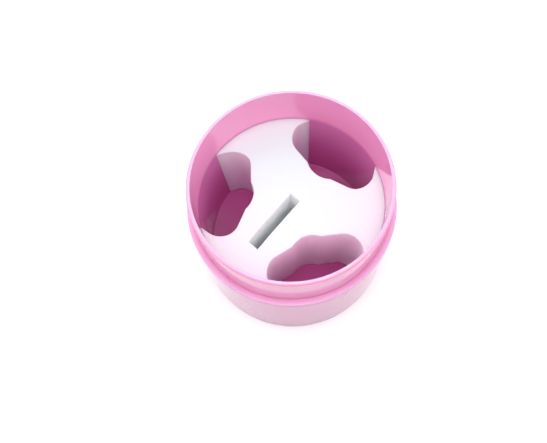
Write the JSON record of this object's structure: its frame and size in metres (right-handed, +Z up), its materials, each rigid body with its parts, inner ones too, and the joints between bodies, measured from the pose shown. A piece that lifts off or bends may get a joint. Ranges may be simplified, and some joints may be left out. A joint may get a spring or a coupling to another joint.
{
  "type": "contact lens case",
  "caption": "Open round double-walled jar with a lift-out foam insert that holds contact lens items in pockets and a slot.",
  "frame": {"origin": "centre of the circle the jar stands on, at table height", "axes": "+Z up out of the open mouth; the insert's slot runs along Y and one pocket faces +Y; X points to the right of that pocket"},
  "size_m": [0.08, 0.08, 0.068],
  "materials": {
    "shell_plastic": "gloss",
    "cup_plastic": "gloss",
    "insert_foam": "matte"
  },
  "bodies": {
    "jar": {"outer_shell": "shell_plastic", "inner_cup": "cup_plastic"},
    "insert": {"insert": "insert_foam"}
  },
  "joints": [
    {"name": "insert_lift", "type": "slide", "parent": "jar", "child": "insert", "axis": [0, 0, 1], "range_m": [0, 0.07]}
  ]
}
